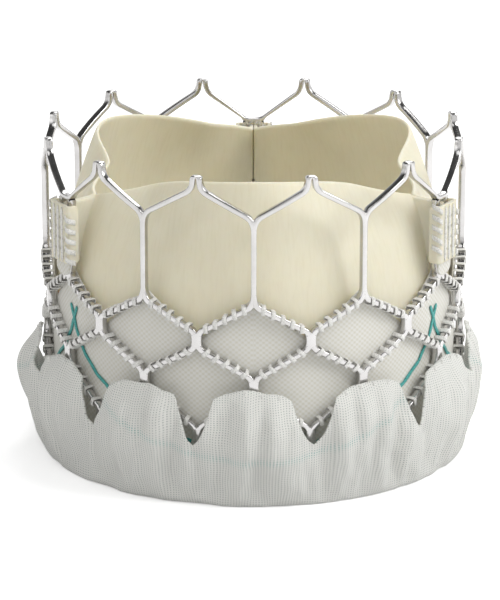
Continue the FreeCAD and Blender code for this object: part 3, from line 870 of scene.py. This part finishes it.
def makeOuterSkirt():
    s = outerSkirtSizes
    points, flat, under = [], [], []
    rows = s.hemRows + s.rows
    inside, outside = s.hemInside, s.radius
    # the hem turns under the frame, from the lumen side outwards
    hem = [(inside, s.hemRise), (inside, 0.45), (inside, 0.28), (inside + 0.02, 0.14), (inside + 0.10, 0.04),
        (inside + 0.24, 0.005), (inside + 0.42, 0.0), ((inside + outside) / 2, 0.0), (outside - 0.42, 0.0),
        (outside - 0.22, 0.005), (outside - 0.08, 0.04), (outside - 0.01, 0.14)]
    for i in range(s.columns + 1):
        angle = 360 * i / s.columns
        lift = s.hemLift * max(0.0, noise.noise(onDrum(13, angle, 0) / mm / 1.9))
        top = skirtEdgeHeight(angle)
        length, last = 0.0, None
        for j in range(rows):
            if j < s.hemRows:
                radius, z = hem[j]
            else:
                z = 0.14 + (top - 0.14) * (j - s.hemRows + 1) / s.rows
                radius = skirtRadius(angle, z)
            z += lift * smoothStep((radius - 12.9) / 0.3) * (1 - smoothStep(z / 1.5))
            here = Vector((radius, z))
            length += (here - last).length if last else 0.0
            last = here
            points.append(onDrum(radius, angle, z))
            flat.append((radians(angle) * s.flatRadius * mm, length * mm))
            line = cuspHeight(s.underSpread * ((angle + 60) % 120 - 60)) - s.underDrop
            under.append(exp(-((z - line) / s.showThrough) ** 2))
    made = newObject("outerSkirt", points, gridFaces(s.columns + 1, rows))
    setUv(made, flat)
    made.data.attributes.new("under", "FLOAT", "POINT").data.foreach_set("value", under)
    cleaned(made, 0.001 * mm, False)
    thickened(made, s.wall, -1, 0)
    finishPiece(made, "knitted_cloth", "outer_skirt", "inflow_hem")
    return made


outerSkirt = makeOuterSkirt()
print("stage: outer skirt,", len(outerSkirt.data.polygons), "faces")


# Sutures

# rings of points skinned to a closed body; an open row of rings is capped at both ends
def skinned(name, rings, closed=False):
    size, count = len(rings[0]), len(rings)
    faces = []
    for i in range(count if closed else count - 1):
        a, b = i * size, (i + 1) % count * size
        faces += [(a + k, a + (k + 1) % size, b + (k + 1) % size, b + k) for k in range(size)]
    if not closed:
        faces += [tuple(range(size)), tuple(range((count - 1) * size, count * size))]
    made = newObject(name, [p for ring in rings for p in ring], faces)
    cleaned(made, 0.0005 * mm)
    return made


# flat thread along a path in the plane of Y and Z, its width along X; slant moves it along X
def ribbon(name, path, width, wall, slant=0.0, closed=False):
    rings = []
    count = len(path)
    for i, here in enumerate(path):
        before = path[i - 1] if closed else path[max(0, i - 1)]
        after = path[(i + 1) % count] if closed else path[min(count - 1, i + 1)]
        along = (after - before).normalized()
        normal = Vector((along.y, -along.x))
        ring = []
        for x, n in ((-0.5, 0.0), (-0.4, 0.5), (0.4, 0.5), (0.5, 0.0), (0.4, -0.5), (-0.4, -0.5)):
            spot = here + normal * n * wall
            ring.append(Vector((x * width + slant * i / count, spot.x, spot.y)) * mm)
        rings.append(ring)
    return skinned(name, rings, closed)


# short rounded piece of thread along X
def threadPiece(name, sizes):
    length, width, wall = (sizes[key] for key in ("length", "width", "wall"))
    rings = []
    for x, size in ((-0.5, 0.35), (-0.44, 0.8), (-0.3, 1.0), (0.3, 1.0), (0.44, 0.8), (0.5, 0.35)):
        turns = [pi * k / 4 for k in range(8)]
        rings.append([Vector((x * length, width / 2 * size * cos(a), wall / 2 * size * sin(a))) * mm
            for a in turns])
    return skinned(name, rings)


# one copy of the pattern for each (place, along, out); across and out are the pattern's Y and Z
def stitched(name, pattern, spots, sway, slot, *nodes):
    made = newObject(name, [spot[0] for spot in spots], [])
    turns = made.data.attributes.new("turn", "FLOAT_VECTOR", "POINT")
    for turn, (_, along, out) in zip(turns.data, spots):
        along = (along - out * along.dot(out)).normalized()
        turn.vector = Matrix((along, out.cross(along), out)).transposed().to_euler()
    runTree(made, placeStitches, {"Stitch": pattern, "Sway": sway, "Seed": 7, "Material": materials[slot]})
    bpy.data.objects.remove(pattern)
    made.data.shade_smooth()
    return finishPiece(made, slot, *nodes)


def outwardAt(angle):
    return onDrum(1, angle, 0).normalized()


whipSizes = Sizes(width=0.27, wall=0.07, half=0.225, front=0.055, back=-0.60, corner=0.09, slant=20,
    rows=[("upperRowStitches", "upper_row_stitches", 5), ("middleRowStitches", "middle_row_stitches", 5),
    ("lowerRowStitches", "lower_row_stitches", 4), ("inflowRowStitches", "inflow_row_stitches", 4)])


def whipStitch():
    s = whipSizes
    half, front, back, c = s.half, s.front, s.back, s.corner
    corner = [(half, c), (half - c * 0.3, c * 0.3), (half - c, 0)]
    path = [Vector((x, front - d)) for x, d in corner] + [Vector((-x, front - d)) for x, d in corner[::-1]]
    path += [Vector((-x, back + d)) for x, d in corner] + [Vector((x, back + d)) for x, d in corner[::-1]]
    return ribbon("whipStitch", path, s.width, s.wall, closed=True)


def whipSpots(low, high, count):
    f = frameSizes
    spots = []
    for column in range(f.columns):
        for side in (-1, 1):
            def onStrut(t):
                u = low[0] + (high[0] - low[0]) * t
                angle = 2 * halfStep * column + side * degrees(u / f.radius)
                return onDrum(f.radius, angle, low[1] + (high[1] - low[1]) * t), angle
            for k in range(count):
                t = 0.02 + 0.96 * (k + 0.5) / count
                place, angle = onStrut(t)
                out = outwardAt(angle)
                along = (onStrut(t + 0.02)[0] - place).normalized()
                spots.append((place, Matrix.Rotation(radians(whipSizes.slant * side), 3, out) @ along, out))
    return spots


def makeWhips():
    f = frameSizes
    across, along = f.bendAcross, f.bendAlong
    ends = [((halfPitch - across, f.high + along), (across, f.fork - along)),
        ((across, f.middle + along), (halfPitch - across, f.high - along)),
        ((halfPitch - across, f.low + along), (across, f.middle - along)),
        ((f.tipAcross, f.foot + f.tipAlong), (halfPitch - across, f.low - along))]
    return [stitched(name, whipStitch(), whipSpots(low, high, count), 0.10, "white_suture", node)
        for (name, node, count), (low, high) in zip(whipSizes.rows, ends)]


whips = makeWhips()
print("stage: whip stitches,", sum(len(w.data.polygons) for w in whips), "faces")


# teal running stitches along each cusp line, close enough to read as one thread
cuspSutureSizes = Sizes(radius=12.46, length=1.02, width=0.27, wall=0.12, pitch=0.84, tilt=5, span=60.8)


def cuspSpots(middle):
    s = cuspSutureSizes

    def onLine(angle):
        return onDrum(s.radius, middle + angle, cuspHeight(angle))

    spots, angle, side = [], -s.span, 1
    while angle < s.span:
        step = s.pitch * mm / (onLine(angle + 0.5) - onLine(angle - 0.5)).length
        out = outwardAt(middle + angle)
        along = Matrix.Rotation(radians(s.tilt * side), 3, out) @ (onLine(angle + 1) - onLine(angle - 1))
        spots.append((onLine(angle), along, out))
        angle += step
        side = -side
    return spots


# cloth strip along the stitched edge, on the lumen side of the leaflet
cuspStripSizes = Sizes(bore=11.74, wall=0.12, width=0.70, rise=0.10, span=54.0, columns=84, rows=5)


def makeCuspStrip(index):
    s = cuspStripSizes

    def spot(i, j):
        angle = s.span * (2 * i / s.columns - 1)
        z = cuspHeight(angle) + s.rise - s.width * (1 - j / s.rows)
        return onDrum(s.bore, angle + 120 * index, z), (radians(angle) * s.bore * mm, z * mm)

    made = gridSheet("cuspStrip" + str(index + 1), s.columns + 1, s.rows + 1, spot)
    thickened(made, s.wall, 1, 0)
    return finishPiece(made, "woven_cloth", "cusp_strip_" + leafletNames[index])


for index, name in enumerate(leafletNames):
    s = cuspSutureSizes
    stitched("cuspSuture" + str(index + 1), threadPiece("cuspStitch", s), cuspSpots(120 * index), 0.02,
        "teal_suture", "cusp_suture_" + name)
    makeCuspStrip(index)
print("stage: cusp strips and sutures")


# Commissure pads, made facing -Y and turned to their windows

padSizes = Sizes(wall=0.24, face=13.30, side=1.03, bend=0.20, back=12.66, split=0.03, low=13.32, high=16.83,
    clip=0.22, columns=44, rows=72, lines=(-0.50, 0.0, 0.50), groove=0.05, grooveWide=0.11,
    holes=[(0.25, 0.64, 1.0), (-0.27, 0.66, 0.35), (0.76, 0.66, 0.35)], holeSize=0.11, cordWide=0.20,
    cordWall=0.15, cordLow=13.42, cordHigh=16.70, lashes=5, lashWide=0.32, lashWall=0.08, lashFall=-0.42,
    patchHalf=0.80, patchLow=12.38, patchFace=13.04, patchWall=0.11, patchRound=0.55, patchGrid=(16, 30))


def padPath(side):
    s = padSizes
    corners = [Vector((s.split, s.face)), Vector((s.side, s.face)), Vector((s.side, s.back))]
    return [Vector((side * p.x, p.y)) for p in resampled(softened(corners, [0, s.bend, 0], 12), s.columns)]


def padSurface(side):
    s = padSizes
    points, flat, pierced = [], [], []
    middle, half = (s.low + s.high) / 2, (s.high - s.low) / 2
    path = padPath(side)
    run = 0.0
    for i, here in enumerate(path):
        run += (here - path[i - 1]).length if i else 0.0
        left = (len(path) - 1 - i) / (len(path) - 1) * 1.6
        clip = s.clip * (1 - sqrt(1 - max(0.0, 1 - left / s.clip) ** 2)) if left < s.clip else 0.0
        for j in range(s.rows + 1):
            z = middle + (half - clip) * (2 * j / s.rows - 1)
            dark = 0.0
            # each needle hole gets a dot of painted shade, and a slight real dimple in the face
            for u, pitch, shade in s.holes:
                offset = (z - middle) / pitch
                down = (offset - (round(offset - 0.5) + 0.5)) * pitch
                if abs(offset) < 2.2 and here.y > s.face - 0.05:
                    away = Vector((here.x - u, down)).length / s.holeSize
                    dark = max(dark, shade * exp(-away ** 4))
            groove = max(exp(-((here.x - u) / s.grooveWide) ** 2) for u in s.lines)
            sink = (s.groove * groove + 0.05 * dark) if here.y > s.face - 0.02 else 0.0
            puff = 0.02 * noise.noise(Vector((here.x, here.y, z)) * 1.4)
            points.append(Vector((here.x, -(here.y - sink + puff), z)) * mm)
            flat.append((side * run * mm, z * mm))
            pierced.append(dark)
    faces = gridFaces(len(path), s.rows + 1)
    made = newObject("padHalf", points, faces if side > 0 else [tuple(reversed(f)) for f in faces])
    setUv(made, flat)
    values = made.data.attributes.new("pierced", "FLOAT", "POINT")
    values.data.foreach_set("value", pierced)
    return thickened(made, s.wall, 0, 0)


def cord(u, low, high, face):
    s = padSizes
    rings = []
    steps = 34
    for i in range(steps + 1):
        t = i / steps
        end = min(1.0, 0.45 + 6 * min(t, 1 - t))
        twist = 1 + 0.07 * cos(2 * pi * 11 * t)
        wide, wall = s.cordWide / 2 * end * twist, s.cordWall / 2 * end * twist
        z = low + (high - low) * t
        rings.append([Vector((u + wide * cos(pi * k / 5), -(face + wall * sin(pi * k / 5)), z)) * mm
            for k in range(10)])
    return skinned("cord", rings)


def lash():
    s = padSizes
    out, side = s.face + s.wall / 2 + 0.035, s.side + s.wall / 2 + 0.035
    path = [(side - 0.26, out - 0.05), (side - 0.17, out), (side - 0.08, out - 0.01),
        (side - 0.02, out - 0.06), (side, out - 0.15), (side, out - 0.32), (side, out - 0.50),
        (side - 0.05, out - 0.58)]
    made = ribbon("lash", [Vector(p) for p in path], s.lashWide, s.lashWall, s.lashFall)
    # its width along Y, across the pad along X
    made.data.transform(Matrix(((0, 1, 0, 0), (1, 0, 0, 0), (0, 0, 1, 0), (0, 0, 0, 1))))
    cleaned(made, 0.0005 * mm)
    return made


def makePatch(name):
    s = padSizes
    columns, rows = s.patchGrid

    def spot(i, j):
        x = 2 * i / columns - 1
        low = s.patchLow + s.patchRound * (1 - sqrt(1 - x * x * 0.98))
        u, z = x * s.patchHalf, low + (s.high - 0.1 - low) * j / rows
        return Vector((u, -s.patchFace, z)) * mm, (u * mm, z * mm)

    return thickened(gridSheet(name, columns + 1, rows + 1, spot), s.patchWall, 1, 0)


def makeCommissure(index):
    s = padSizes
    angle = 60 + 120 * index
    name = commissureNames[index]
    number = str(index + 1)
    turn = Matrix.Rotation(radians(angle), 4, "Z")
    tabs = joined("commissureTabs" + number, [padSurface(1), padSurface(-1)])
    face = s.face + s.wall / 2
    cords = joined("tabCords" + number, [cord(u, s.cordLow, s.cordHigh, face + 0.01) for u in s.lines])
    patch = makePatch("commissurePatch" + number)
    for made in (tabs, cords, patch):
        made.data.transform(turn)
    finishPiece(tabs, "tissue", "commissure_tabs_" + name)
    finishPiece(cords, "white_suture", "tab_suture_" + name)
    finishPiece(patch, "woven_cloth", "commissure_patch_" + name)
    spots = []
    for side in (-1, 1):
        for k in range(s.lashes):
            z = s.low + 0.35 + (s.high - s.low - 0.7) * (k + 0.5 * (side < 0)) / (s.lashes - 0.5)
            spots.append((Vector((0, 0, z * mm)), turn.to_3x3() @ Vector((side, 0, 0)), outwardAt(angle)))
    stitched("tabLashes" + number, lash(), spots, 0.0, "white_suture", "tab_lashing_" + name)


for index in range(3):
    makeCommissure(index)
print("stage: commissure pads")


# Small stitches of the outer skirt

edgeStitchSizes = Sizes(length=0.42, width=0.12, wall=0.05, step=4.2, count=4)
hemStitchSizes = Sizes(length=0.60, width=0.16, wall=0.08, radius=12.09, z=0.36, count=24, lean=0.25)


def edgeSpots():
    s = edgeStitchSizes
    spots = []
    for flap in range(frameSizes.columns):
        for k in range(s.count):
            angle = 2 * halfStep * flap + (k - (s.count - 1) / 2) * s.step
            high = skirtEdgeHeight(angle) - 0.04
            low = high - s.length
            ends = [onDrum(skirtRadius(angle, z) + 0.01, angle, z) for z in (low, high)]
            spots.append(((ends[0] + ends[1]) / 2, ends[1] - ends[0], outwardAt(angle)))
    return spots


def hemSpots():
    s = hemStitchSizes
    spots = []
    for k in range(s.count):
        angle = 360 * (k + 0.5) / s.count
        inwards = -outwardAt(angle)
        across = Vector((0, 0, 1)).cross(inwards)
        spots.append((onDrum(s.radius, angle, s.z), Vector((0, 0, 1)) + across * s.lean, inwards))
    return spots


stitched("skirtEdgeStitches", threadPiece("edgeStitch", edgeStitchSizes), edgeSpots(), 0.12, "white_suture",
    "skirt_edge_stitches")
stitched("hemStitches", threadPiece("hemStitch", hemStitchSizes), hemSpots(), 0.06, "white_suture",
    "hem_stitches")
print("stage: small stitches")
